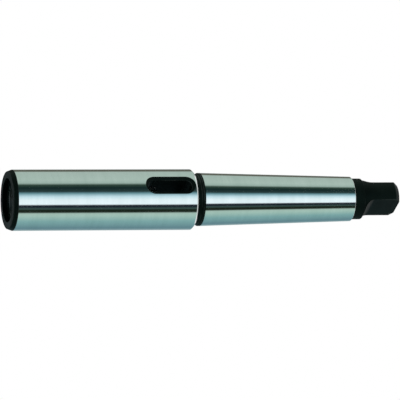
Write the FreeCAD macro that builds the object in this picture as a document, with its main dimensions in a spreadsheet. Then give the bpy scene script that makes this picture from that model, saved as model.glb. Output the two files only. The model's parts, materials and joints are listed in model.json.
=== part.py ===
"""Extension socket with a tapered shank and tang, turned, milled and ground from one steel bar.

The axis is Z. The socket's end face lies in the XY plane with its centre at the origin, and
the tang is at the top. The drift slot runs through along Y, and the tang's flats face X, so
that the slot's walls and the flats are parallel. Millimetres throughout.
"""
import FreeCAD, Part
import math
import os
import Sketcher

NODE = "taper_sleeve"

# Driving sizes: the name of each cell, its value and what it measures. The heights build up
# from the socket's face: socket, drift slot, shoulder, relief, shank and tang.
SIZES = [
    ("body_dia", 36.0, "ground outside of the socket body"),
    ("mouth_chamfer_length", 2.8, "chamfer at the mouth, along the axis"),
    ("mouth_chamfer_depth", 1.0, "chamfer at the mouth, across the axis"),
    ("recess_step", 1.1, "recess that guards the socket's edge: wall outside the taper's edge"),
    ("recess_depth", 3.0, "straight part of the recess"),
    ("recess_cone", 1.0, "cone from the recess down to the taper's gauge plane"),
    ("socket_gauge_dia", 23.825, "number 3 inside taper at its gauge plane"),
    ("socket_one_in", 19.922, "length that narrows the socket by one"),
    ("socket_taper_length", 72.2, "gauge plane to the end of the taper"),
    ("socket_bore_length", 11.8, "clearance bore below the taper"),
    ("drill_point_angle", 118.0, "included angle of a drilled bottom"),
    ("slot_width", 8.3, "drift slot, across"),
    ("slot_length", 27.0, "drift slot, end to end"),
    ("slot_overlap", 6.0, "near end of the slot to the end of the clearance bore"),
    ("slot_rim_chamfer", 1.8, "chamfer around both mouths of the slot"),
    ("shoulder_land", 0.3, "slot's rim to the shoulder's chamfer"),
    ("shoulder_chamfer", 1.4, "45 degree chamfer at the shoulder"),
    ("relief_length", 2.5, "grinding relief between the shoulder and the shank"),
    ("relief_depth", 0.6, "relief below the shank's large end"),
    ("relief_cone", 1.0, "cone from the relief up to the shank's large end"),
    ("shank_length", 124.0, "shank's large end to the end of the tang"),
    ("shank_gauge_offset", 6.5, "shank's large end to its gauge plane"),
    ("shank_gauge_dia", 31.267, "number 4 outside taper at its gauge plane"),
    ("shank_one_in", 19.254, "length that narrows the shank by one"),
    ("tang_dia", 22.5, "round edges of the tang"),
    ("tang_thickness", 11.9, "across the tang's flats"),
    ("tang_flat_length", 16.0, "straight part of the flats"),
    ("tang_runout_radius", 6.0, "cutter radius at the root of the flats"),
    ("tang_land", 0.5, "round land between the shank and the run-out"),
    ("tang_end_chamfer", 2.5, "turned 45 degree chamfer on the tang's end"),
    ("centre_pilot_dia", 2.5, "centre hole in the tang's end, pilot"),
    ("centre_pilot_depth", 5.5, "tang's end to the bottom of the pilot"),
    ("centre_mouth_dia", 5.3, "centre hole, mouth of the cone"),
    ("centre_angle", 60.0, "centre hole, included angle of the cone"),
]

doc = FreeCAD.newDocument("TaperSleeve")


def make_sheet():
    """Puts every driving size in a cell of its own, with its name as the alias."""
    sheet = doc.addObject("Spreadsheet::Sheet", "Sizes")
    for row, (name, value, meaning) in enumerate(SIZES, start=1):
        sheet.set(f"A{row}", name)
        sheet.set(f"B{row}", str(value))
        sheet.set(f"C{row}", meaning)
        sheet.setAlias(f"B{row}", name)
    doc.recompute()
    return sheet


def origin_plane(body, role):
    """The body's own origin plane with this role."""
    return next(plane for plane in body.Origin.OriginFeatures if plane.Role == role)


def new_sketch(body, name):
    """An empty sketch on the XZ plane: its x is the row's X, and its y runs along the axis."""
    sketch = body.newObject("Sketcher::SketchObject", name)
    sketch.AttachmentSupport = (origin_plane(body, "XZ_Plane"), [""])
    sketch.MapMode = "FlatFace"
    return sketch


def formula_value(sketch, formula):
    """What a formula of sheet cells comes to now, as a plain number."""
    return float(sketch.evalExpression(formula))


def drive(sketch, constraint, formula):
    """Adds a constraint and binds its value to a formula of sheet cells."""
    index = sketch.addConstraint(constraint)
    sketch.setExpression(f"Constraints[{index}]", formula)


def pin_point(sketch, line, end, across, along):
    """Holds one end of a line at (across, along), each a formula, or None for on that axis."""
    horizontal_axis, vertical_axis = -1, -2
    if across is None:
        sketch.addConstraint(Sketcher.Constraint("PointOnObject", line, end, vertical_axis))
    else:
        value = formula_value(sketch, across)
        drive(sketch, Sketcher.Constraint("DistanceX", -1, 1, line, end, value), across)
    if along is None:
        sketch.addConstraint(Sketcher.Constraint("PointOnObject", line, end, horizontal_axis))
    else:
        value = formula_value(sketch, along)
        drive(sketch, Sketcher.Constraint("DistanceY", -1, 1, line, end, value), along)


def closed_outline(sketch, corners):
    """Joins the corners with straight lines, and holds each corner by its two formulas."""
    spots = [
        FreeCAD.Vector(*(0.0 if part is None else formula_value(sketch, part) for part in corner), 0)
        for corner in corners
    ]
    count = len(corners)
    for start, end in zip(spots, spots[1:] + spots[:1]):
        sketch.addGeometry(Part.LineSegment(start, end), False)
    for line in range(count):
        sketch.addConstraint(Sketcher.Constraint("Coincident", line, 2, (line + 1) % count, 1))
    for line, (across, along) in enumerate(corners):
        pin_point(sketch, line, 1, across, along)


def turn(body, name, kind, corners):
    """Turns an outline, whose corners are (radius, height), all the way round the axis."""
    sketch = new_sketch(body, f"{name}Outline")
    closed_outline(sketch, corners)
    turned = body.newObject(kind, name)
    turned.Profile = sketch
    turned.ReferenceAxis = (sketch, ["V_Axis"])
    turned.Angle = 360.0
    return turned


# Heights and radii that more than one feature uses, as formulas of the driving sizes.
BODY_RADIUS = "Sizes.body_dia / 2"
SOCKET_GAUGE_PLANE = "(Sizes.recess_depth + Sizes.recess_cone)"
TAPER_END = f"({SOCKET_GAUGE_PLANE} + Sizes.socket_taper_length)"
BORE_END = f"({TAPER_END} + Sizes.socket_bore_length)"
SLOT_START = f"({BORE_END} - Sizes.slot_overlap)"
SLOT_END = f"({SLOT_START} + Sizes.slot_length)"
SHOULDER_EDGE = f"({SLOT_END} + Sizes.slot_rim_chamfer + Sizes.shoulder_land)"
SHOULDER = f"({SHOULDER_EDGE} + Sizes.shoulder_chamfer)"
RELIEF_END = f"({SHOULDER} + Sizes.relief_length)"
SHANK_START = f"({RELIEF_END} + Sizes.relief_cone)"
TANG_END = f"({SHANK_START} + Sizes.shank_length)"
TANG_FLAT_ROOT = f"({TANG_END} - Sizes.tang_flat_length)"
TANG_RUNOUT_FOOT = f"({TANG_FLAT_ROOT} - Sizes.tang_runout_radius)"
SHANK_END = f"({TANG_RUNOUT_FOOT} - Sizes.tang_land)"


def shank_radius(height):
    """The outside taper's radius at a height, as a formula."""
    gauge_plane = f"({SHANK_START} + Sizes.shank_gauge_offset)"
    return f"(Sizes.shank_gauge_dia - ({height} - {gauge_plane}) / Sizes.shank_one_in) / 2"


def turn_blank(body):
    """The outside of the whole sleeve, turned from bar: body, relief, tapered shank, round tang."""
    relief_radius = f"{shank_radius(SHANK_START)} - Sizes.relief_depth"
    tang_radius = "Sizes.tang_dia / 2"
    return turn(body, "TurnedBlank", "PartDesign::Revolution", [
        (None, None),
        (f"{BODY_RADIUS} - Sizes.mouth_chamfer_depth", None),
        (BODY_RADIUS, "Sizes.mouth_chamfer_length"),
        (BODY_RADIUS, SHOULDER_EDGE),
        (f"{BODY_RADIUS} - Sizes.shoulder_chamfer", SHOULDER),
        (relief_radius, SHOULDER),
        (relief_radius, RELIEF_END),
        (shank_radius(SHANK_START), SHANK_START),
        (shank_radius(SHANK_END), SHANK_END),
        (tang_radius, SHANK_END),
        (tang_radius, f"{TANG_END} - Sizes.tang_end_chamfer"),
        (f"{tang_radius} - Sizes.tang_end_chamfer", TANG_END),
        (None, TANG_END),
    ])


def bore_socket(body):
    """The socket: guard recess, inside taper, clearance bore and the drill's pointed bottom."""
    recess_radius = "Sizes.socket_gauge_dia / 2 + Sizes.recess_step"
    bore_radius = "(Sizes.socket_gauge_dia - Sizes.socket_taper_length / Sizes.socket_one_in) / 2"
    return turn(body, "TaperSocket", "PartDesign::Groove", [
        (None, None),
        (recess_radius, None),
        (recess_radius, "Sizes.recess_depth"),
        ("Sizes.socket_gauge_dia / 2", SOCKET_GAUGE_PLANE),
        (bore_radius, TAPER_END),
        (bore_radius, BORE_END),
        (None, f"{BORE_END} + {bore_radius} / tan(Sizes.drill_point_angle / 2)"),
    ])


def drill_centre(body):
    """The centre hole in the tang's end, from turning and grinding between centres."""
    mouth_radius, pilot_radius = "Sizes.centre_mouth_dia / 2", "Sizes.centre_pilot_dia / 2"
    cone_depth = f"({mouth_radius} - {pilot_radius}) / tan(Sizes.centre_angle / 2)"
    tip_depth = f"{pilot_radius} / tan(Sizes.drill_point_angle / 2)"
    pilot_bottom = f"{TANG_END} - Sizes.centre_pilot_depth"
    return turn(body, "CentreHole", "PartDesign::Groove", [
        (None, TANG_END),
        (mouth_radius, TANG_END),
        (pilot_radius, f"{TANG_END} - {cone_depth}"),
        (pilot_radius, pilot_bottom),
        (None, f"{pilot_bottom} - {tip_depth}"),
    ])


def mill_through(body, name, sketch):
    """A cut right through the piece along Y, to both sides of the sketch's plane."""
    cut = body.newObject("PartDesign::Pocket", name)
    cut.Profile = sketch
    cut.SideType = "Symmetric"
    cut.Type = "ThroughAll"
    return cut


def mill_drift_slot(body):
    """The drift slot: straight sides and round ends, from the end mill that cuts it."""
    half_width = "Sizes.slot_width / 2"
    sketch = new_sketch(body, "SlotOutline")
    radius = formula_value(sketch, half_width)
    low = formula_value(sketch, SLOT_START) + radius
    high = formula_value(sketch, SLOT_END) - radius
    z_axis = FreeCAD.Vector(0, 0, 1)
    top_circle = Part.Circle(FreeCAD.Vector(0, high, 0), z_axis, radius)
    bottom_circle = Part.Circle(FreeCAD.Vector(0, low, 0), z_axis, radius)
    right, left, top, bottom = (
        sketch.addGeometry(edge, False)
        for edge in (
            Part.LineSegment(FreeCAD.Vector(radius, low, 0), FreeCAD.Vector(radius, high, 0)),
            Part.LineSegment(FreeCAD.Vector(-radius, high, 0), FreeCAD.Vector(-radius, low, 0)),
            Part.ArcOfCircle(top_circle, 0, math.pi),
            Part.ArcOfCircle(bottom_circle, math.pi, 2 * math.pi),
        )
    )
    for first, second in ((right, top), (top, left), (left, bottom), (bottom, right)):
        sketch.addConstraint(Sketcher.Constraint("Tangent", first, 2, second, 1))
    for arc in (top, bottom):
        sketch.addConstraint(Sketcher.Constraint("PointOnObject", arc, 3, -2))
    sketch.addConstraint(Sketcher.Constraint("Equal", top, bottom))
    drive(sketch, Sketcher.Constraint("Radius", top, radius), half_width)
    drive(sketch, Sketcher.Constraint("DistanceY", -1, 1, bottom, 3, low), f"{SLOT_START} + {half_width}")
    drive(sketch, Sketcher.Constraint("DistanceY", -1, 1, top, 3, high), f"{SLOT_END} - {half_width}")
    return mill_through(body, "DriftSlot", sketch)


def chamfer_slot_rims(body, slot):
    """The chamfer around both mouths of the slot, where its walls meet the ground outside."""
    radius = formula_value(slot, BODY_RADIUS)
    low = formula_value(slot, SLOT_START)
    high = formula_value(slot, SLOT_END)
    tolerance = 1e-4
    samples = 5

    def on_rim(edge):
        steps = (edge.FirstParameter + (edge.LastParameter - edge.FirstParameter) * i / (samples - 1)
                 for i in range(samples))
        points = [edge.valueAt(step) for step in steps]
        return all(
            abs(math.hypot(point.x, point.y) - radius) < tolerance
            and low - tolerance < point.z < high + tolerance
            for point in points
        )

    rims = [f"Edge{number}" for number, edge in enumerate(slot.Shape.Edges, start=1) if on_rim(edge)]
    chamfer = body.newObject("PartDesign::Chamfer", "SlotRims")
    chamfer.Base = (slot, rims)
    chamfer.ChamferType = "Equal distance"
    chamfer.setExpression("Size", "Sizes.slot_rim_chamfer")
    return chamfer


def mill_tang(body):
    """One flat of the tang, with the cutter's radius left at its root, and its mirror image."""
    face, outside, top = "Sizes.tang_thickness / 2", BODY_RADIUS, TANG_END
    runout, root = "Sizes.tang_runout_radius", TANG_FLAT_ROOT
    sketch = new_sketch(body, "TangFlatOutline")
    face_x, outside_x, top_z, radius, root_z = (
        formula_value(sketch, formula) for formula in (face, outside, top, runout, root)
    )
    foot_z = root_z - radius
    corners = [
        FreeCAD.Vector(face_x + radius, foot_z, 0),
        FreeCAD.Vector(outside_x, foot_z, 0),
        FreeCAD.Vector(outside_x, top_z, 0),
        FreeCAD.Vector(face_x, top_z, 0),
        FreeCAD.Vector(face_x, root_z, 0),
    ]
    floor, side, lid, flat = (
        sketch.addGeometry(Part.LineSegment(begin, finish), False)
        for begin, finish in zip(corners, corners[1:])
    )
    circle = Part.Circle(FreeCAD.Vector(face_x + radius, root_z, 0), FreeCAD.Vector(0, 0, 1), radius)
    arc = sketch.addGeometry(Part.ArcOfCircle(circle, math.pi, 1.5 * math.pi), False)
    for first, second in ((flat, arc), (arc, floor)):
        sketch.addConstraint(Sketcher.Constraint("Tangent", first, 2, second, 1))
    for first, second in ((floor, side), (side, lid), (lid, flat)):
        sketch.addConstraint(Sketcher.Constraint("Coincident", first, 2, second, 1))
    for line in (floor, lid):
        sketch.addConstraint(Sketcher.Constraint("Horizontal", line))
    for line in (side, flat):
        sketch.addConstraint(Sketcher.Constraint("Vertical", line))
    drive(sketch, Sketcher.Constraint("Radius", arc, radius), runout)
    drive(sketch, Sketcher.Constraint("DistanceX", -1, 1, flat, 1, face_x), face)
    drive(sketch, Sketcher.Constraint("DistanceX", -1, 1, side, 1, outside_x), outside)
    drive(sketch, Sketcher.Constraint("DistanceY", -1, 1, flat, 1, top_z), top)
    drive(sketch, Sketcher.Constraint("DistanceY", -1, 1, flat, 2, root_z), root)
    return mill_through(body, "TangFlat", sketch)


def mirror_flat(body, flat):
    """The second flat, on the other side of the YZ plane."""
    mirror = body.newObject("PartDesign::Mirrored", "TangFlatOpposite")
    mirror.Originals = [flat]
    mirror.MirrorPlane = (origin_plane(body, "YZ_Plane"), [""])
    body.Tip = mirror
    return mirror


def checked(step, removes_from=None):
    """Works the model out, and stops if a feature failed, a sketch is loose or a cut took nothing."""
    doc.recompute()
    broken = [item.Label for item in doc.Objects if {"Invalid", "Error"} & set(item.State)]
    if broken:
        raise RuntimeError(f"failed features: {broken}")
    sketches = doc.findObjects("Sketcher::SketchObject")
    loose = [sketch.Label for sketch in sketches if not sketch.FullyConstrained]
    if loose:
        raise RuntimeError(f"sketches that are not held everywhere: {loose}")
    if removes_from is not None and step.Shape.Volume >= removes_from.Shape.Volume:
        raise RuntimeError(f"{step.Label} removes nothing")
    return step


def make_sleeve():
    """The sleeve, in the order in which it is machined."""
    body = doc.addObject("PartDesign::Body", NODE)
    body.Label = NODE
    body.Placement = FreeCAD.Placement()
    blank = checked(turn_blank(body))
    socket = checked(bore_socket(body), blank)
    centre = checked(drill_centre(body), socket)
    slot = checked(mill_drift_slot(body), centre)
    rims = checked(chamfer_slot_rims(body, slot), slot)
    flat = checked(mill_tang(body), rims)
    checked(mirror_flat(body, flat), flat)
    return body


def export(body):
    """Writes the finished solid, once it is known to be sound."""
    shape = body.Shape
    if shape.isNull() or not shape.isValid() or len(shape.Solids) != 1:
        raise RuntimeError(f"{body.Label} is not one sound solid")
    os.makedirs("parts", exist_ok=True)
    shape.exportStep(f"parts/{body.Label}.step")
    print(f"{body.Label}: {shape.Volume:.0f} mm3, {shape.BoundBox.ZLength:.2f} mm long")


make_sheet()
export(make_sleeve())
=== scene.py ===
"""Looks of a hardened steel extension sleeve that holds taper shank tools.

It stands on its socket end with its axis on Z, the drift slot through along Y and the tang's
flats facing X. Metres throughout.
"""
import json
import math

import bpy
import numpy as np
from mathutils import Matrix, Vector


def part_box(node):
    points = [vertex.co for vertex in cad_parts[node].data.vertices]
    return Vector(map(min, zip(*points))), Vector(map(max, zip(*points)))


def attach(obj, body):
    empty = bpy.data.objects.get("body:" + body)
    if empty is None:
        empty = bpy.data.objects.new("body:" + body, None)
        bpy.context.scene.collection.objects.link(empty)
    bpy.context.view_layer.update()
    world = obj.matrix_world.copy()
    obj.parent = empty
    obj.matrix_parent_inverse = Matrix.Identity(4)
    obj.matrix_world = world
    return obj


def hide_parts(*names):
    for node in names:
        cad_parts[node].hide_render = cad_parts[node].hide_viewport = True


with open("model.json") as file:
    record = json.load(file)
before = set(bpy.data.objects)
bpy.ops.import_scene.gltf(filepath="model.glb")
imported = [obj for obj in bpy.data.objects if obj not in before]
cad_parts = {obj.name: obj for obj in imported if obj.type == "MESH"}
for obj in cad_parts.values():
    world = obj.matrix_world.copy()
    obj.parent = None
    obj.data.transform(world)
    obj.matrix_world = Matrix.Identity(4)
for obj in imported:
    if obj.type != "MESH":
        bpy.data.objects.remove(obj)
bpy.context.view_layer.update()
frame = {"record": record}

# ---------------------------------------------------------------------------------------------
# The turned outside and the socket. The sleeve is one steel bar, turned and bored, hardened,
# and ground on the body, the shank and the inside taper. It repeats in four quarters, so each
# patch of its surface is worked out once, from the X axis to the Y axis, and mirrored later.

MM = 0.001
mounts = {mount["name"]: mount for mount in frame["record"]["mounts"]}
TANG_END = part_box("taper_sleeve")[1].z
BODY_RADIUS = mounts["body_outside"]["dims"]["r_mm"] * MM

MOUTH_CHAMFER_LENGTH, MOUTH_CHAMFER_DEPTH = 2.8 * MM, 1.0 * MM
RECESS_STEP, RECESS_DEPTH, RECESS_CONE = 1.1 * MM, 3.0 * MM, 1.0 * MM
SOCKET_GAUGE_RADIUS, SOCKET_ONE_IN = 11.9125 * MM, 19.922
SOCKET_TAPER_LENGTH, SOCKET_BORE_LENGTH = 72.2 * MM, 11.8 * MM
DRILL_POINT = math.radians(118 / 2)
SHOULDER_CHAMFER = 1.4 * MM
RELIEF_LENGTH, RELIEF_DEPTH, RELIEF_CONE = 2.5 * MM, 0.6 * MM, 1.0 * MM
SHANK_LENGTH, SHANK_GAUGE_OFFSET = 124.0 * MM, 6.5 * MM
SHANK_GAUGE_RADIUS, SHANK_ONE_IN = 15.6335 * MM, 19.254
TANG_RADIUS, TANG_HALF, TANG_LAND = 11.25 * MM, 5.95 * MM, 0.5 * MM
TANG_FLAT_LENGTH, TANG_RUNOUT = 16.0 * MM, 6.0 * MM
EDGE_BREAK = 0.18 * MM  # corners of the turning, broken by hand
BREAK_STEPS = 4         # steps round each broken corner
EDGE_BAND = 0.45 * MM   # width of the band beside an edge that is painted lighter, as rubbed wear and as a painted highlight
WELD = 0.0001 * MM      # points nearer than this are one point

GAUGE_PLANE = RECESS_DEPTH + RECESS_CONE
TAPER_END = GAUGE_PLANE + SOCKET_TAPER_LENGTH
BORE_END = TAPER_END + SOCKET_BORE_LENGTH
BORE_RADIUS = SOCKET_GAUGE_RADIUS - SOCKET_TAPER_LENGTH / SOCKET_ONE_IN / 2
RECESS_RADIUS = SOCKET_GAUGE_RADIUS + RECESS_STEP
SOCKET_TIP = BORE_END + BORE_RADIUS / math.tan(DRILL_POINT)
SLOT_OVERLAP = 6.0 * MM
SLOT_START = BORE_END - SLOT_OVERLAP
SHANK_START = TANG_END - SHANK_LENGTH
RELIEF_END = SHANK_START - RELIEF_CONE
SHOULDER = RELIEF_END - RELIEF_LENGTH
SHOULDER_EDGE = SHOULDER - SHOULDER_CHAMFER
FLAT_ROOT = TANG_END - TANG_FLAT_LENGTH
SHANK_END = FLAT_ROOT - TANG_RUNOUT - TANG_LAND
runout_centre = TANG_HALF + TANG_RUNOUT
foot_angle = math.acos((runout_centre - TANG_RADIUS) / TANG_RUNOUT)
RUNOUT_FOOT = FLAT_ROOT - TANG_RUNOUT * math.sin(foot_angle)  # the cutter leaves the round here
SHANK_GROUND = SHANK_START + 1.1 * MM  # the grinding starts here, just above the relief
NECK_START, NECK_CONE, NECK_RADIUS = 211.0 * MM, 0.4 * MM, 12.25 * MM  # turned above the taper

# A strip of the body round the slot's mouth is left out of the turned rows.
STRIP_HALF = math.radians(24)
STRIP_LOW, STRIP_HIGH = 78.0 * MM, SHOULDER_EDGE - 0.1 * MM
side_angles = np.linspace(0, math.pi / 2 - STRIP_HALF, 34)
strip_angles = np.linspace(math.pi / 2 - STRIP_HALF, math.pi / 2, 13)
quarter_angles = np.concatenate([side_angles, strip_angles[1:]])

GROUND, BLACKED, BORED = range(3)
patches = []


def shank_radius(height):
    """The shank's gauge radius, less half of one in SHANK_ONE_IN of the way up from its gauge plane."""
    return SHANK_GAUGE_RADIUS - (height - SHANK_START - SHANK_GAUGE_OFFSET) / SHANK_ONE_IN / 2


def outline_rows(corners):
    """Rows along straight runs with broken corners: radius, height, the normal's two parts, edge.

    A corner is (radius, height, break radius, steps in the run after it). The solid is on the
    left of the way along. A break is an arc that touches both runs: its centre plus the turning
    normal times the break radius. Edge is 1 on a break, and 0 from EDGE_BAND beside it on.
    """
    spots = np.array([corner[:2] for corner in corners])
    breaks = np.array([corner[2] for corner in corners], float)
    lengths = np.hypot(*np.diff(spots, axis=0).T)
    ways = np.diff(spots, axis=0) / lengths[:, None]
    headings = np.arctan2(ways[:, 1], ways[:, 0])
    turns = np.zeros(len(corners))
    turns[1:-1] = (np.diff(headings) + math.pi) % (2 * math.pi) - math.pi
    tangents = breaks * np.tan(np.abs(turns) / 2)
    rows = []
    for run, (spot, way, length) in enumerate(zip(spots, ways, lengths)):
        begin, finish = tangents[run], length - tangents[run + 1]
        band = min(EDGE_BAND, (finish - begin) / 3)
        bands = [begin + band] * bool(begin) + [finish - band] * bool(tangents[run + 1])
        along = np.unique(np.concatenate([np.linspace(begin, finish, corners[run][3] + 1), bands]))
        edge = ((along == begin) & (begin > 0)) | ((along == finish) & (tangents[run + 1] > 0))
        normal = np.array([way[1], -way[0]])
        rows.append(np.column_stack([spot + along[:, None] * way, np.tile(normal, (len(along), 1)), edge]))
        if tangents[run + 1]:
            shares = np.linspace(0, 1, BREAK_STEPS + 1)[1:-1]
            angles = headings[run] - math.pi / 2 + turns[run + 1] * shares
            normals = np.column_stack([np.cos(angles), np.sin(angles)])
            side = math.copysign(breaks[run + 1], turns[run + 1])
            centre = spot + finish * way - normal * side
            rows.append(np.column_stack([centre + normals * side, normals, np.ones(len(angles))]))
    return np.concatenate(rows)


def add_turned(rows, angles):
    """A turned patch: each row's radius swept through the angles, x = r cos a and y = r sin a.

    The mouth, the relief and all above the shank's taper are black, and so is the socket's recess.
    """
    radius, height, out, up, edge = (column[:, None] for column in rows.T)
    level = np.ones((len(rows), np.shape(angles)[-1]))
    across, along = np.cos(angles) * level, np.sin(angles) * level
    points = np.stack([radius * across, radius * along, height * level], axis=-1)
    normals = np.stack([out * across, out * along, up * level], axis=-1)
    middle = (height[:-1] + height[1:]) / 2
    inside = (radius[:-1] + radius[1:]) / 2 < RECESS_RADIUS + EDGE_BREAK
    socket = inside & (middle < SOCKET_TIP)
    relief = (middle > SHOULDER - EDGE_BREAK / 4) & (middle < SHANK_GROUND)
    blacked = (middle < MOUTH_CHAMFER_LENGTH) | relief | (middle > NECK_START)
    finish = np.where(
        socket, np.where(middle < GAUGE_PLANE, BLACKED, BORED), np.where(blacked, BLACKED, GROUND)
    )
    patches.append((points, normals, edge * level, finish))


mouth_corners = [
    (BORE_RADIUS, SLOT_START, 0, 4),
    (BORE_RADIUS, TAPER_END, 0, 24),
    (SOCKET_GAUGE_RADIUS, GAUGE_PLANE, EDGE_BREAK, 2),
    (RECESS_RADIUS, RECESS_DEPTH, EDGE_BREAK, 3),
    (RECESS_RADIUS, 0, EDGE_BREAK, 4),
    (BODY_RADIUS - MOUTH_CHAMFER_DEPTH, 0, EDGE_BREAK, 4),
    (BODY_RADIUS, MOUTH_CHAMFER_LENGTH, EDGE_BREAK, 30),
    (BODY_RADIUS, STRIP_LOW, 0, 0),
]
strip_corners = [(BODY_RADIUS, STRIP_LOW, 0, 24), (BODY_RADIUS, STRIP_HIGH, 0, 0)]
shank_corners = [
    (BODY_RADIUS, STRIP_HIGH, 0, 1),
    (BODY_RADIUS, SHOULDER_EDGE, EDGE_BREAK, 3),
    (BODY_RADIUS - SHOULDER_CHAMFER, SHOULDER, EDGE_BREAK, 3),
    (shank_radius(SHANK_START) - RELIEF_DEPTH, SHOULDER, EDGE_BREAK, 3),
    (shank_radius(SHANK_START) - RELIEF_DEPTH, RELIEF_END, EDGE_BREAK, 2),
    (shank_radius(SHANK_START), SHANK_START, EDGE_BREAK, 1),
    (shank_radius(SHANK_GROUND), SHANK_GROUND, 0, 40),
    (shank_radius(NECK_START), NECK_START, EDGE_BREAK, 1),
    (NECK_RADIUS, NECK_START + NECK_CONE, EDGE_BREAK, 6),
    (NECK_RADIUS, SHANK_END, EDGE_BREAK, 3),
    (TANG_RADIUS, SHANK_END, EDGE_BREAK, 2),
    (TANG_RADIUS, RUNOUT_FOOT, 0, 0),
]
add_turned(outline_rows(mouth_corners), quarter_angles)
strip_rows = outline_rows(strip_corners)
add_turned(strip_rows, side_angles)
add_turned(outline_rows(shank_corners), quarter_angles)

# ---------------------------------------------------------------------------------------------
# The drift slot: milled right through the body along Y with round ends, so that a drift can
# push the tool out of the socket. It cuts the clearance bore and the drill's pointed bottom.
# Its mouths have a wide chamfer, and all of it is black.

SLOT_HALF, SLOT_LENGTH, RIM_CHAMFER = 4.15 * MM, 27.0 * MM, 1.8 * MM
low_centre = SLOT_START + SLOT_HALF
high_centre = SLOT_START + SLOT_LENGTH - SLOT_HALF
bore_crossing = math.acos(SLOT_HALF / BORE_RADIUS)  # where the slot's wall meets the bore


def point_height(radius):
    """The height at which the drilled bottom has this radius: one radius in tan of its half angle."""
    return BORE_END + (BORE_RADIUS - radius) / math.tan(DRILL_POINT)


# Half of the slot's outline, from its lowest point up its X side to its highest.
end_angles = np.linspace(0, math.pi / 2, 17)
cone_angles = np.linspace(bore_crossing, 0, 7)
cone_radii = SLOT_HALF / np.cos(cone_angles)
wall_heights = np.concatenate([
    np.linspace(low_centre, BORE_END, 3)[1:],
    point_height(cone_radii)[1:],
    np.linspace(point_height(SLOT_HALF), high_centre, 9)[1:],
])
slot_angles = np.concatenate([
    end_angles, np.full(len(wall_heights), math.pi / 2), end_angles[1:] + math.pi / 2
])
slot_out = np.stack([np.sin(slot_angles), -np.cos(slot_angles)])
slot_x = SLOT_HALF * slot_out[0]
slot_z = np.concatenate([
    low_centre - SLOT_HALF * np.cos(end_angles),
    wall_heights,
    high_centre + SLOT_HALF * np.sin(end_angles[1:]),
])
in_bore = slot_z <= point_height(SLOT_HALF)
bore_radii = np.minimum(BORE_RADIUS, BORE_RADIUS - (slot_z - BORE_END) * math.tan(DRILL_POINT))
slot_inner_y = np.sqrt(np.where(in_bore, np.maximum(bore_radii**2 - slot_x**2, 0), 0))
slot_edge_y = np.sqrt(BODY_RADIUS**2 - slot_x**2)
slot_wall_normals = np.stack([-slot_out[0], 0 * slot_x, -slot_out[1]], axis=-1)


def blend_rows(first, last, shares):
    """Rows of points between two curves: each share of the way from the first to the last."""
    return first + np.asarray(shares)[:, None, None] * (last - first)


def body_points(turn, height):
    """Points of the body's outside, at a distance turn round it from the Y axis towards X."""
    angle = math.pi / 2 - turn / BODY_RADIUS
    return np.stack([BODY_RADIUS * np.cos(angle), BODY_RADIUS * np.sin(angle), height], axis=-1)


# The body's surface round the mouth: from the rim out to the strip's border, both unrolled.
rim_turn = BODY_RADIUS * np.arcsin(slot_x / BODY_RADIUS) + RIM_CHAMFER * slot_out[0]
rim_z = slot_z + RIM_CHAMFER * slot_out[1]
border_turn = BODY_RADIUS * (math.pi / 2 - np.concatenate([
    strip_angles[:0:-1], np.full(len(strip_rows), strip_angles[0]), strip_angles[1:]
]))
border_z = np.concatenate([
    np.full(len(strip_angles) - 1, STRIP_LOW), strip_rows[:, 1],
    np.full(len(strip_angles) - 1, STRIP_HIGH)
])
spread = np.linspace(0, 1, 7)[:, None]
mouth_points = body_points(rim_turn + spread * (border_turn - rim_turn), rim_z + spread * (border_z - rim_z))
mouth_normals = mouth_points * [1, 1, 0] / BODY_RADIUS
patches.append((mouth_points, mouth_normals, np.zeros(mouth_points.shape[:2]), GROUND))

# The chamfered rim, whose normal lies halfway between the body's and the slot wall's.
rim_top = body_points(rim_turn, rim_z)
rim_bottom = np.stack([slot_x, slot_edge_y - RIM_CHAMFER, slot_z], axis=-1)
outward = np.stack([slot_x, slot_edge_y, 0 * slot_x], axis=-1) / BODY_RADIUS
rim_normals = outward + slot_wall_normals
rim_normals /= np.linalg.norm(rim_normals, axis=-1, keepdims=True)
rim_shares = [0, 0.12, 0.5, 0.88, 1]
rim_points = blend_rows(rim_top, rim_bottom, rim_shares)
rim_edge = np.array([1, 0, 0, 0, 1])[:, None] * np.ones(len(slot_x))
patches.append((rim_points, np.broadcast_to(rim_normals, rim_points.shape), rim_edge, BLACKED))

# The slot's wall, down to the bore or to the middle of the bar.
wall_bottom = np.stack([slot_x, slot_inner_y, slot_z], axis=-1)
wall_shares = [0, 0.06, 0.25, 0.5, 0.75, 1]
wall_points = blend_rows(rim_bottom, wall_bottom, wall_shares)
wall_edge = np.array([1, 0, 0, 0, 0, 0])[:, None] * np.ones(len(slot_x))
patches.append((wall_points, np.broadcast_to(slot_wall_normals, wall_points.shape), wall_edge, BLACKED))

# What the slot leaves of the bore and of its pointed bottom, on each side of it.
bore_rows = in_bore & (slot_z <= BORE_END + WELD)
point_rows = in_bore & (slot_z >= BORE_END - WELD)
for kept, out, up in (
    (bore_rows, -1.0, 0.0),
    (point_rows, -math.cos(DRILL_POINT), -math.sin(DRILL_POINT)),
):
    level = np.ones(kept.sum())
    rows = np.column_stack([bore_radii[kept], slot_z[kept], out * level, up * level, 0 * level])
    reach = np.arccos(np.minimum(slot_x[kept] / bore_radii[kept], 1))[:, None]
    add_turned(rows, quarter_angles * reach / (math.pi / 2))

# ---------------------------------------------------------------------------------------------
# The tang that drives the sleeve: two flats milled on the round end, each with the cutter's
# radius at its root, a chamfer turned on the end, and the centre hole that it was ground on.

TANG_CHAMFER = 2.5 * MM
CENTRE_MOUTH, CENTRE_PILOT, CENTRE_DEPTH = 2.65 * MM, 1.25 * MM, 5.5 * MM
CENTRE_CONE = math.radians(60 / 2)
flat_shares = np.linspace(0, 1, 9)
runout_angles = np.linspace(foot_angle, 0, 17)


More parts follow.
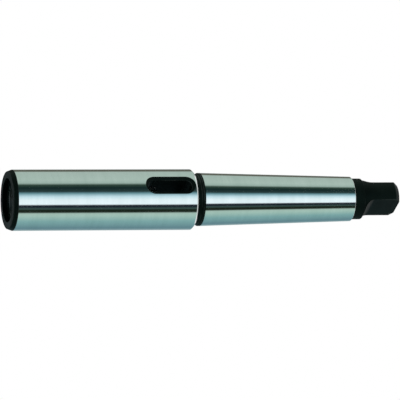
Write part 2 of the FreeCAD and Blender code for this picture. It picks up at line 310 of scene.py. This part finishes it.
def add_tang_rows(radii, halves, heights, side_normal, flat_normals, edge):
    """A stretch of the tang: circles of these radii, cut off at these half thicknesses.

    The round side runs from the flat's corner, at the angle acos(half / radius), to the Y axis,
    and the flat from the X axis to that corner.
    """
    corner_angles = np.arccos(np.minimum(halves / radii, 1))[:, None]
    angles = corner_angles + (1 - corner_angles / (math.pi / 2)) * quarter_angles
    across, along = np.cos(angles), np.sin(angles)
    level = np.ones_like(angles)
    side = np.stack([radii[:, None] * across, radii[:, None] * along, heights[:, None] * level], axis=-1)
    normals = np.stack([side_normal[0] * across, side_normal[0] * along, side_normal[1] * level], axis=-1)
    beside = np.where(radii * angles.T - radii * corner_angles.T < EDGE_BAND / 2, 1.0, 0.0).T
    patches.append((side, normals, np.maximum(beside, edge[:, None]), BLACKED))
    reach = np.sqrt(np.maximum(radii**2 - halves**2, 0))[:, None] * flat_shares
    level = np.ones_like(reach)
    flat = np.stack([np.minimum(halves, radii)[:, None] * level, reach, heights[:, None] * level], axis=-1)
    normals = flat_normals[:, None, :] * level[..., None]
    patches.append((flat, normals, np.maximum(flat_shares == 1, edge[:, None]) * level, BLACKED))


runout_normals = np.stack([np.cos(runout_angles), 0 * runout_angles, np.sin(runout_angles)], axis=-1)
add_tang_rows(
    np.full(len(runout_angles), TANG_RADIUS),
    runout_centre - TANG_RUNOUT * np.cos(runout_angles),
    FLAT_ROOT - TANG_RUNOUT * np.sin(runout_angles),
    (1, 0), runout_normals, np.zeros(len(runout_angles)),
)
flat_heights = np.concatenate([
    np.linspace(FLAT_ROOT, TANG_END - TANG_CHAMFER - EDGE_BAND, 9), [TANG_END - TANG_CHAMFER]
])
flat_face = np.array([[1.0, 0.0, 0.0]])
add_tang_rows(
    np.full(len(flat_heights), TANG_RADIUS), np.full(len(flat_heights), TANG_HALF), flat_heights,
    (1, 0), flat_face.repeat(len(flat_heights), axis=0), flat_heights == flat_heights[-1],
)
chamfer_shares = np.array([0, 0.15, 0.5, 0.85, 1])
add_tang_rows(
    TANG_RADIUS - TANG_CHAMFER * chamfer_shares, np.full(len(chamfer_shares), TANG_HALF),
    TANG_END - TANG_CHAMFER * (1 - chamfer_shares), (math.sqrt(0.5), math.sqrt(0.5)),
    flat_face.repeat(len(chamfer_shares), axis=0), (chamfer_shares == 0) | (chamfer_shares == 1),
)

# The tang's end, from its outline in to the centre hole, and then the hole.
end_radius = TANG_RADIUS - TANG_CHAMFER
end_corner = math.acos(TANG_HALF / end_radius)
end_flat_y = TANG_HALF * math.tan(end_corner) * flat_shares
end_sides = end_corner + (1 - end_corner / (math.pi / 2)) * quarter_angles
end_outline = np.concatenate([
    np.stack([np.full(len(flat_shares), TANG_HALF), end_flat_y], axis=-1),
    end_radius * np.stack([np.cos(end_sides), np.sin(end_sides)], axis=-1)[1:],
])
end_turns = np.arctan2(end_outline[:, 1], end_outline[:, 0])
hole_outline = CENTRE_MOUTH * np.stack([np.cos(end_turns), np.sin(end_turns)], axis=-1)
end_flat = blend_rows(end_outline, hole_outline, [0, 0.07, 0.5, 0.93, 1])
end_points = np.concatenate([end_flat, np.full(end_flat.shape[:2] + (1,), TANG_END)], axis=-1)
end_edge = np.array([1, 0, 0, 0, 1])[:, None] * np.ones(len(end_turns))
patches.append((end_points, np.broadcast_to([0.0, 0.0, 1.0], end_points.shape), end_edge, BLACKED))
cone_depth = (CENTRE_MOUTH - CENTRE_PILOT) / math.tan(CENTRE_CONE)
hole_corners = [
    (CENTRE_MOUTH, TANG_END, 0, 4),
    (CENTRE_PILOT, TANG_END - cone_depth, 0, 2),
    (CENTRE_PILOT, TANG_END - CENTRE_DEPTH, 0, 2),
    (0, TANG_END - CENTRE_DEPTH - CENTRE_PILOT / math.tan(DRILL_POINT), 0, 0),
]
add_turned(outline_rows(hole_corners), end_turns)

# ---------------------------------------------------------------------------------------------
# The whole sleeve: the patches, mirrored to all four quarters and joined to one closed skin. It is
# hardened steel, ground bright on the body, the shank and the socket's taper, and black elsewhere.


def closed_skin(name):
    """One mesh from the patches: points that coincide become one, and faces keep their own normals."""
    grids = [
        (points * side, normals * side, edge, finish)
        for points, normals, edge, finish in patches
        for side in np.array([[1, 1, 1], [-1, 1, 1], [1, -1, 1], [-1, -1, 1]])
    ]
    points = np.concatenate([grid[0].reshape(-1, 3) for grid in grids])
    normals = np.concatenate([grid[1].reshape(-1, 3) for grid in grids])
    edges = np.concatenate([np.ravel(grid[2]) for grid in grids]).astype(float)
    quads, finishes, first = [], [], 0
    for grid in grids:
        rows, columns = grid[0].shape[:2]
        number = first + np.arange(rows * columns).reshape(rows, columns)
        quads.append(np.stack(
            [number[:-1, :-1], number[:-1, 1:], number[1:, 1:], number[1:, :-1]], axis=-1
        ).reshape(-1, 4))
        finishes.append(np.broadcast_to(grid[3], (rows - 1, columns - 1)).ravel())
        first += rows * columns
    quads, finishes = np.concatenate(quads), np.concatenate(finishes)
    diagonals = points[quads[:, 2]] - points[quads[:, 0]], points[quads[:, 3]] - points[quads[:, 1]]
    inwards = (np.cross(*diagonals) * normals[quads].sum(axis=1)).sum(axis=1) < 0
    quads[inwards] = quads[inwards, ::-1]
    keys, shown, shared = np.unique(
        np.round(points / WELD).astype(np.int64), axis=0, return_index=True, return_inverse=True
    )
    shared = shared.ravel()
    corners = shared[quads]
    kept = corners != np.roll(corners, 1, axis=1)
    whole = kept.sum(axis=1) >= 3
    kept &= whole[:, None]
    counts = kept.sum(axis=1)[whole]
    corner_points, corner_normals = corners[kept], normals[quads[kept]]
    # The edge mask, which paints the black finish lighter: partly rubbed wear, partly painted highlights.
    wear_and_highlight = np.zeros(len(keys))
    np.maximum.at(wear_and_highlight, shared, edges)
    mesh = bpy.data.meshes.new(name)
    mesh.vertices.add(len(keys))
    mesh.vertices.foreach_set("co", points[shown].ravel())
    mesh.loops.add(len(corner_points))
    mesh.loops.foreach_set("vertex_index", corner_points)
    mesh.polygons.add(len(counts))
    mesh.polygons.foreach_set("loop_start", np.cumsum(counts) - counts)
    mesh.polygons.foreach_set("material_index", finishes[whole])
    mesh.attributes.new("edge", "FLOAT", "POINT").data.foreach_set("value", wear_and_highlight)
    mesh.update(calc_edges=True)
    mesh.shade_smooth()
    mesh.normals_split_custom_set(corner_normals)
    piece = bpy.data.objects.new(name, mesh)
    bpy.context.scene.collection.objects.link(piece)
    return piece


sleeve = closed_skin("extension_sleeve")


def node(tree, kind, inputs=None, **settings):
    """A new node with these settings, whose inputs take a plain value or another node's output."""
    made = tree.nodes.new(kind)
    for name, value in settings.items():
        setattr(made, name, value)
    for name, value in (inputs or {}).items():
        if isinstance(value, bpy.types.NodeSocket):
            tree.links.new(value, made.inputs[name])
        else:
            made.inputs[name].default_value = value
    return made


def ramp(tree, factor, stops):
    """A colour ramp over a factor, with (place, colour) stops."""
    made = node(tree, "ShaderNodeValToRGB", {"Fac": factor})
    elements = made.color_ramp.elements
    for place, colour in stops[2:]:
        elements.new(place)
    for element, (place, colour) in zip(elements, stops):
        element.position = place
        element.color = (*colour, 1)
    return made.outputs["Color"]


TONE_LOW, TONE_HIGH = 0.35, 0.65
NOISE_LOW, NOISE_HIGH = 0.3, 0.7  # a noise seldom leaves this range


def toned(tree, factor, tones):
    """The first tone where a noise is low, turning to the second where it is high."""
    return ramp(tree, factor, [(TONE_LOW, tones[0]), (TONE_HIGH, tones[1])])


def spread_to(tree, factor, low, high):
    """A noise's usual range, stretched to run from low to high."""
    return node(tree, "ShaderNodeMapRange", {
        "Value": factor, "From Min": NOISE_LOW, "From Max": NOISE_HIGH, "To Min": low, "To Max": high
    }).outputs["Result"]


BROAD_SHARE = 0.12      # broad rings, as a share of the number of fine ones
RING_DRIFT = 40.0       # how often a ring changes on its way round, per metre
BLOTCH_DENSITY = 60.0   # blotches per metre


def machining_marks():
    """A group of rings round the axis, as turning or grinding leaves them, and of soft blotches.

    Its input is the number of fine rings in a metre. Its outputs are the height of the fine rings,
    a mask of broad rings and a mask of blotches, all from 0 to 1.
    """
    group = bpy.data.node_groups.new("machining_marks", "ShaderNodeTree")
    group.interface.new_socket("Rings per metre", in_out="INPUT", socket_type="NodeSocketFloat")
    for name in ("Fine rings", "Broad rings", "Blotches"):
        group.interface.new_socket(name, in_out="OUTPUT", socket_type="NodeSocketFloat")
    given, result = group.nodes.new("NodeGroupInput"), group.nodes.new("NodeGroupOutput")
    place = node(group, "ShaderNodeTexCoord").outputs["Object"]
    height = node(group, "ShaderNodeSeparateXYZ", {"Vector": place}).outputs["Z"]
    round_place = node(group, "ShaderNodeVectorMath", {0: place, "Scale": RING_DRIFT}, operation="SCALE")
    turn = node(group, "ShaderNodeSeparateXYZ", {"Vector": round_place.outputs["Vector"]})
    for output, share in (("Fine rings", 1.0), ("Broad rings", BROAD_SHARE)):
        rings = node(group, "ShaderNodeMath", {0: given.outputs[0], 1: share}, operation="MULTIPLY")
        ring = node(group, "ShaderNodeMath", {0: height, 1: rings.outputs[0]}, operation="MULTIPLY")
        stretched = node(group, "ShaderNodeCombineXYZ", {
            "X": turn.outputs["X"], "Y": turn.outputs["Y"], "Z": ring.outputs[0]
        })
        noise = node(group, "ShaderNodeTexNoise", {
            "Vector": stretched.outputs[0], "Scale": 1.0, "Detail": 2.0, "Roughness": 0.5
        })
        group.links.new(noise.outputs["Fac"], result.inputs[output])
    blotches = node(group, "ShaderNodeTexNoise", {
        "Vector": place, "Scale": BLOTCH_DENSITY, "Detail": 4.0, "Roughness": 0.6
    })
    group.links.new(blotches.outputs["Fac"], result.inputs["Blotches"])
    return group


marks_group = machining_marks()


def marked_material(name, rings, depth):
    """A material whose shader has the bump of so many fine rings per metre, this deep."""
    material = bpy.data.materials.new(name)
    material.use_nodes = True
    tree = material.node_tree
    tree.nodes.clear()
    marks = node(tree, "ShaderNodeGroup", node_tree=marks_group)
    marks.inputs["Rings per metre"].default_value = rings
    bump = node(tree, "ShaderNodeBump", {
        "Height": marks.outputs["Fine rings"], "Strength": 1.0, "Distance": depth
    })
    shader = node(tree, "ShaderNodeBsdfPrincipled", {"Normal": bump.outputs["Normal"]})
    node(tree, "ShaderNodeOutputMaterial", {"Surface": shader.outputs["BSDF"]})
    return material, tree, shader, marks.outputs


def steel(name, tones, roughness, rings, depth):
    """Bare steel: two tones mixed by broad rings and blotches, and a roughness between two values."""
    material, tree, shader, marks = marked_material(name, rings, depth)
    both = node(tree, "ShaderNodeMath", {0: marks["Broad rings"], 1: marks["Blotches"]}, operation="ADD")
    mean = node(tree, "ShaderNodeMath", {0: both.outputs[0], 1: 0.5}, operation="MULTIPLY")
    tree.links.new(toned(tree, mean.outputs[0], tones), shader.inputs["Base Color"])
    tree.links.new(spread_to(tree, marks["Blotches"], *roughness), shader.inputs["Roughness"])
    shader.inputs["Metallic"].default_value = 1.0
    return material


OXIDE_TONES = (0.0008, 0.0020, 0.0016), (0.0018, 0.0042, 0.0034)
OXIDE_WEAR_AND_HIGHLIGHT, WEAR_AND_HIGHLIGHT_FROM = (0.03, 0.036, 0.035, 1), 0.42  # lighter on edges where blotches pass this: partly rubbed wear, partly a painted highlight
OXIDE_ROUGHNESS, OXIDE_SHEEN, OXIDE_TINT = (0.42, 0.55), 0.065, (0.6, 1.0, 0.9, 1)


def black_oxide():
    """Black finish on turned steel: near black, uneven, and painted lighter on its edges, partly as rubbed
    wear and partly as painted highlights and glints.
    """
    material, tree, shader, marks = marked_material("black_oxide", rings=1400.0, depth=0.01 * MM)
    tone = toned(tree, marks["Blotches"], OXIDE_TONES)
    edge = node(tree, "ShaderNodeAttribute", attribute_name="edge", attribute_type="GEOMETRY")
    patchy = node(tree, "ShaderNodeMapRange", {
        "Value": marks["Blotches"], "From Min": WEAR_AND_HIGHLIGHT_FROM, "From Max": NOISE_HIGH
    })
    wear_and_highlight = node(tree, "ShaderNodeMath", {
        0: edge.outputs["Fac"], 1: patchy.outputs["Result"]
    }, operation="MULTIPLY")
    # Edges painted lighter: partly rubbed wear, partly painted highlights and glints.
    colour = node(tree, "ShaderNodeMix", {
        "Factor": wear_and_highlight.outputs[0], 6: tone, 7: OXIDE_WEAR_AND_HIGHLIGHT
    }, data_type="RGBA")
    tree.links.new(colour.outputs[2], shader.inputs["Base Color"])
    tree.links.new(spread_to(tree, marks["Broad rings"], *OXIDE_ROUGHNESS), shader.inputs["Roughness"])
    shader.inputs["Specular IOR Level"].default_value = OXIDE_SHEEN
    shader.inputs["Specular Tint"].default_value = OXIDE_TINT
    return material


# The finishes, in the order of their numbers: GROUND, BLACKED and BORED.
for material in (
    steel(
        "ground_steel", tones=[(0.64, 0.68, 0.67), (0.72, 0.75, 0.745)], roughness=(0.06, 0.10),
        rings=2500.0, depth=0.0015 * MM
    ),
    black_oxide(),
    steel(
        "bored_steel", tones=[(0.44, 0.46, 0.46), (0.55, 0.57, 0.57)], roughness=(0.24, 0.36),
        rings=1800.0, depth=0.003 * MM
    ),
):
    sleeve.data.materials.append(material)
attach(sleeve, "root")
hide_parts("taper_sleeve")

# ---------------------------------------------------------------------------------------------
# The studio: a pale floor, white surroundings, a soft lamp, and a tent of pale cloth with dark
# strips that only the steel's reflections show. The camera looks up at the sleeve from beside
# its socket end.

CAMERA_AZIMUTH = math.radians(-60.2)
TENT_RADIUS, TENT_LOW, TENT_HIGH, TENT_SIDES = 0.6, -2.0, 0.53, 96

# Cloth and strips round the tent, by the angle from the camera's side, and the light they give.
TENT_CLOTH = [
    (-180, (0.42, 0.52, 0.54)), (-150, (0.26, 0.40, 0.43)), (-132, (0.16, 0.30, 0.35)),
    (-88, (0.28, 0.52, 0.52)), (-62, (0.50, 0.72, 0.64)), (-52, (0.52, 0.70, 0.62)),
    (-47, (0.02, 0.03, 0.02)), (-38, (0.012, 0.02, 0.012)), (-33, (0.06, 0.11, 0.10)),
    (-27, (0.02, 0.03, 0.04)), (-20, (0.003, 0.008, 0.02)), (-16, (1.14, 1.28, 1.36)),
    (0, (1.08, 1.22, 1.28)), (12, (0.75, 1.00, 1.10)), (24, (0.20, 0.40, 0.46)),
    (31, (0.03, 0.06, 0.06)), (46, (0.010, 0.028, 0.028)), (58, (0.04, 0.08, 0.06)),
    (66, (0.46, 0.60, 0.54)), (80, (0.55, 0.69, 0.62)), (130, (0.50, 0.62, 0.56)),
    (137, (0.15, 0.155, 0.125)), (155, (0.13, 0.135, 0.11)), (172, (0.32, 0.39, 0.39)),
]
tent_turns = np.linspace(0, 2 * math.pi, TENT_SIDES + 1)
tent_rows = np.array([TENT_LOW, TENT_HIGH])[:, None]
tent_grid = np.stack([
    TENT_RADIUS * np.cos(tent_turns) + 0 * tent_rows, TENT_RADIUS * np.sin(tent_turns) + 0 * tent_rows,
    tent_rows + 0 * tent_turns
], axis=-1)
tent_numbers = np.arange(tent_grid.shape[1] * 2).reshape(2, -1)
tent_quads = np.stack([
    tent_numbers[0, 1:], tent_numbers[0, :-1], tent_numbers[1, :-1], tent_numbers[1, 1:]
], axis=-1)


def stage_object(name, points, faces, material):
    """A mesh of the studio, which isn't part of the sleeve."""
    mesh = bpy.data.meshes.new(name)
    mesh.from_pydata(points.reshape(-1, 3).tolist(), [], faces.tolist())
    mesh.materials.append(material)
    thing = bpy.data.objects.new(name, mesh)
    bpy.context.scene.collection.objects.link(thing)
    return thing


def tent_material():
    """Light of the cloth by the angle round the sleeve, counted from the camera's side."""
    material = bpy.data.materials.new("tent_cloth")
    material.use_nodes = True
    tree = material.node_tree
    tree.nodes.clear()
    place = node(tree, "ShaderNodeTexCoord").outputs["Object"]
    turned_place = node(tree, "ShaderNodeMapping", {
        "Vector": place, "Rotation": (0, 0, CAMERA_AZIMUTH), "Scale": (1, -1, 1)
    })
    angle = node(tree, "ShaderNodeTexGradient", {"Vector": turned_place.outputs[0]}, gradient_type="RADIAL")
    stops = [((angle + 180) / 360, colour) for angle, colour in TENT_CLOTH]
    colour = ramp(tree, angle.outputs["Fac"], stops)
    glow = node(tree, "ShaderNodeEmission", {"Color": colour, "Strength": 1.0})
    node(tree, "ShaderNodeOutputMaterial", {"Surface": glow.outputs[0]})
    return material


tent = stage_object("light_tent", tent_grid, tent_quads, tent_material())
for kind in ("camera", "diffuse", "transmission", "volume_scatter", "shadow"):
    setattr(tent, f"visible_{kind}", False)

FLOOR_HALF, FLOOR_GAP = 6.0, 0.2 * MM
FLOOR_FADE = (0.35, 1.3)  # the floor turns white between these distances from the sleeve
FLOOR_TONE = (0.86, 0.86, 0.86, 1)


def floor_material():
    """A pale matt floor that turns to plain white away from the sleeve, and can't be seen from below."""
    material = bpy.data.materials.new("pale_floor")
    material.use_nodes = True
    tree = material.node_tree
    tree.nodes.clear()
    matt = node(tree, "ShaderNodeBsdfDiffuse", {"Color": FLOOR_TONE})
    white = node(tree, "ShaderNodeEmission", {"Color": (1, 1, 1, 1), "Strength": 1.0})
    clear = node(tree, "ShaderNodeBsdfTransparent")
    place = node(tree, "ShaderNodeTexCoord").outputs["Object"]
    away = node(tree, "ShaderNodeVectorMath", {0: place}, operation="LENGTH")
    fade = node(tree, "ShaderNodeMapRange", {
        "Value": away.outputs["Value"], "From Min": FLOOR_FADE[0], "From Max": FLOOR_FADE[1]
    }, interpolation_type="SMOOTHSTEP")
    top = node(tree, "ShaderNodeMixShader", {0: fade.outputs[0], 1: matt.outputs[0], 2: white.outputs[0]})
    side = node(tree, "ShaderNodeNewGeometry").outputs["Backfacing"]
    whole = node(tree, "ShaderNodeMixShader", {0: side, 1: top.outputs[0], 2: clear.outputs[0]})
    node(tree, "ShaderNodeOutputMaterial", {"Surface": whole.outputs[0]})
    return material


floor_corners = np.array([[-1, -1, 0], [1, -1, 0], [1, 1, 0], [-1, 1, 0]]) * FLOOR_HALF - [0, 0, FLOOR_GAP]
floor = stage_object("pale_floor", floor_corners, np.array([[0, 1, 2, 3]]), floor_material())
floor.visible_glossy = False

world = bpy.data.worlds.new("white_surroundings")
world.use_nodes = True
world.node_tree.nodes["Background"].inputs["Color"].default_value = (1, 1, 1, 1)
world.node_tree.nodes["Background"].inputs["Strength"].default_value = 1.0
bpy.context.scene.world = world

LAMP_SIZE, LAMP_WATTS, LAMP_PLACE = 0.6, 8.0, (-0.75, -0.45, 1.1)
lamp_data = bpy.data.lights.new("soft_lamp", "AREA")
lamp_data.shape, lamp_data.size, lamp_data.energy = "DISK", LAMP_SIZE, LAMP_WATTS
lamp = bpy.data.objects.new("soft_lamp", lamp_data)
lamp.location = LAMP_PLACE
lamp.rotation_euler = (-lamp.location).to_track_quat("-Z", "Y").to_euler()
lamp.visible_glossy = False
bpy.context.scene.collection.objects.link(lamp)

# The camera stands a little below the socket's end and is rolled, so that the axis lies level.
CAMERA_TILT, CAMERA_ROLL = math.radians(16.25), math.radians(-0.22)
CAMERA_DISTANCE, AIM_HEIGHT, CAMERA_SHIFT = 2.5, 0.1178, -0.00125
SENSOR, VIEW_WIDTH = 36.0, 0.23780  # millimetres, and metres across the view at the sleeve

towards = Vector((math.cos(CAMERA_AZIMUTH), math.sin(CAMERA_AZIMUTH), 0))
axis = Vector((0, 0, 1))
back = towards * math.cos(CAMERA_TILT) - axis * math.sin(CAMERA_TILT)
right = axis * math.cos(CAMERA_TILT) + towards * math.sin(CAMERA_TILT)
up = back.cross(right)
roll = Matrix.Rotation(CAMERA_ROLL, 3, back)
right, up = roll @ right, roll @ up
camera_data = bpy.data.cameras.new("camera")
camera_data.sensor_width = SENSOR
camera_data.lens = SENSOR * CAMERA_DISTANCE / VIEW_WIDTH
camera_data.shift_y = CAMERA_SHIFT
camera = bpy.data.objects.new("camera", camera_data)
camera.matrix_world = Matrix((
    (right.x, up.x, back.x, back.x * CAMERA_DISTANCE),
    (right.y, up.y, back.y, back.y * CAMERA_DISTANCE),
    (right.z, up.z, back.z, back.z * CAMERA_DISTANCE + AIM_HEIGHT),
    (0, 0, 0, 1),
))
bpy.context.scene.collection.objects.link(camera)
bpy.context.scene.camera = camera
bpy.context.scene.view_settings.view_transform = "Standard"
